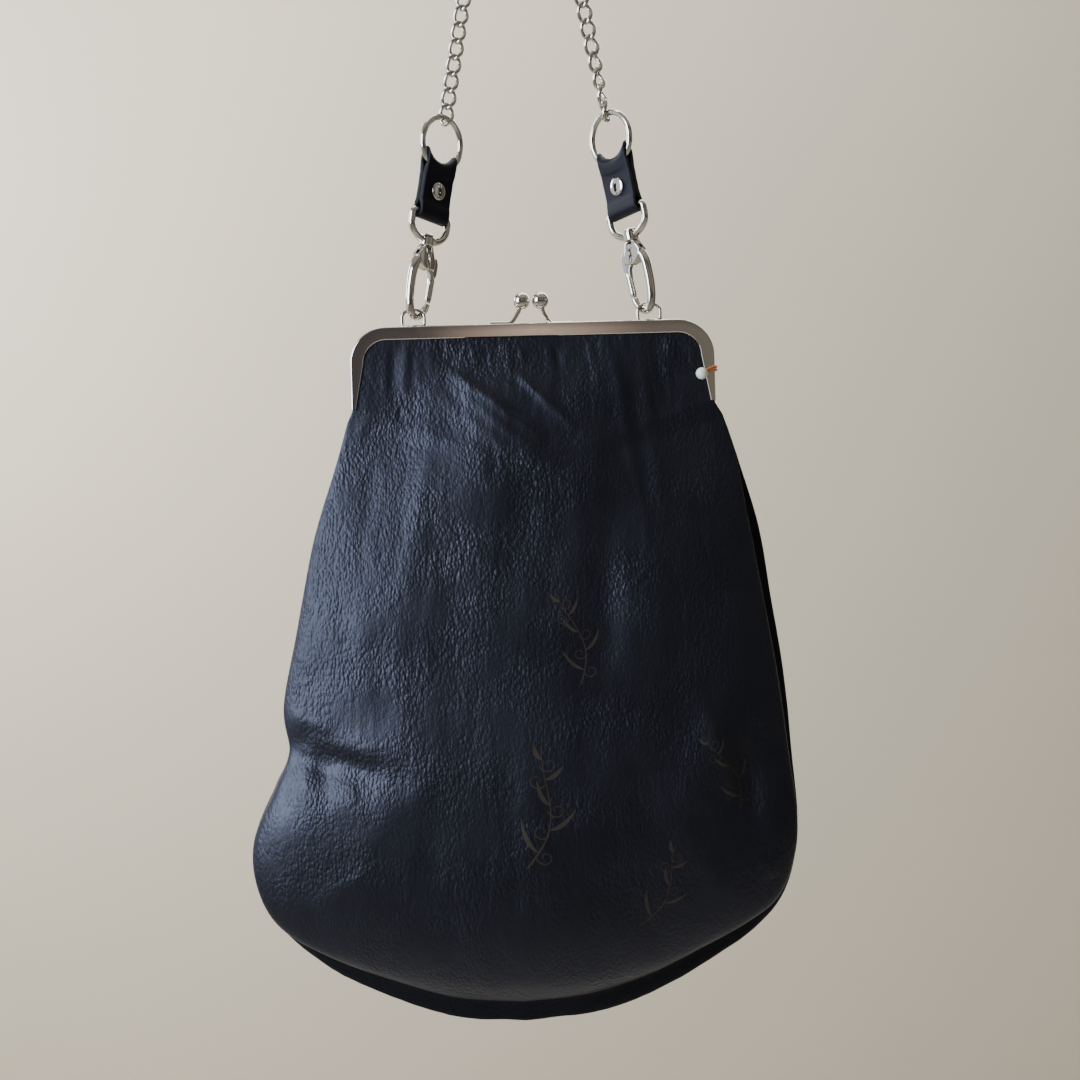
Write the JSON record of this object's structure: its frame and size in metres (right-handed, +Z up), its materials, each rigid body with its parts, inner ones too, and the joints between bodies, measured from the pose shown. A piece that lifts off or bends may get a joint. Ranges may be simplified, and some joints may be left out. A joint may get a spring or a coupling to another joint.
{
  "type": "clasp frame bag with chain strap",
  "caption": "Soft leather pouch bag on a metal kiss-lock frame, hanging from a curb chain strap with snap hooks, leather tabs and rings.",
  "frame": {"origin": "the point where the strap hangs, the underside of the chain's top link", "axes": "+X to the right as the clasp is seen from the front, +Y from the front wall to the back wall, +Z up along the strap"},
  "size_m": [0.2977, 0.0515, 0.6938],
  "materials": {
    "leather_black": "soft pebbled grain, dark navy black",
    "polished_nickel": "polished nickel plate",
    "bead_white": "glossy",
    "orange_thread": "twisted thread"
  },
  "bodies": {
    "bag": {"front_panel": "leather_black", "back_panel": "leather_black", "frame_front": "polished_nickel", "frame_back": "polished_nickel", "frame_pin_left": "polished_nickel", "frame_pin_right": "polished_nickel", "strap_chain": "polished_nickel", "edge_bead": "bead_white", "bead_thread": "orange_thread", "o_ring_left": "polished_nickel", "tab_left": "leather_black", "rivet_left": "polished_nickel", "swivel_loop_left": "polished_nickel", "o_ring_right": "polished_nickel", "tab_right": "leather_black", "rivet_right": "polished_nickel", "swivel_loop_right": "polished_nickel"},
    "hook_left": {"hook_left": "polished_nickel"},
    "gate_left": {"gate_left": "polished_nickel"},
    "hook_right": {"hook_right": "polished_nickel"},
    "gate_right": {"gate_right": "polished_nickel"}
  },
  "joints": [
    {"name": "hook_left_swivel", "type": "hinge", "parent": "bag", "child": "hook_left", "pos_m": [-0.05649, 0, -0.25331], "axis": [0.1788, 0, 0.9839], "range_deg": [0, 75]},
    {"name": "gate_left_hinge", "type": "hinge", "parent": "hook_left", "child": "gate_left", "pos_m": [-0.0556, 0.00361, -0.26658], "axis": [-0.7312, 0.6691, 0.1329], "range_deg": [0, 28], "stiffness_Nm_per_rad": 0.02, "springref_deg": -14.32},
    {"name": "hook_right_swivel", "type": "hinge", "parent": "bag", "child": "hook_right", "pos_m": [0.05649, 0, -0.25331], "axis": [0.1788, 0, -0.9839], "range_deg": [0, 75]},
    {"name": "gate_right_hinge", "type": "hinge", "parent": "hook_right", "child": "gate_right", "pos_m": [0.0556, 0.00361, -0.26658], "axis": [-0.7312, -0.6691, -0.1329], "range_deg": [0, 28], "stiffness_Nm_per_rad": 0.02, "springref_deg": -14.32}
  ]
}
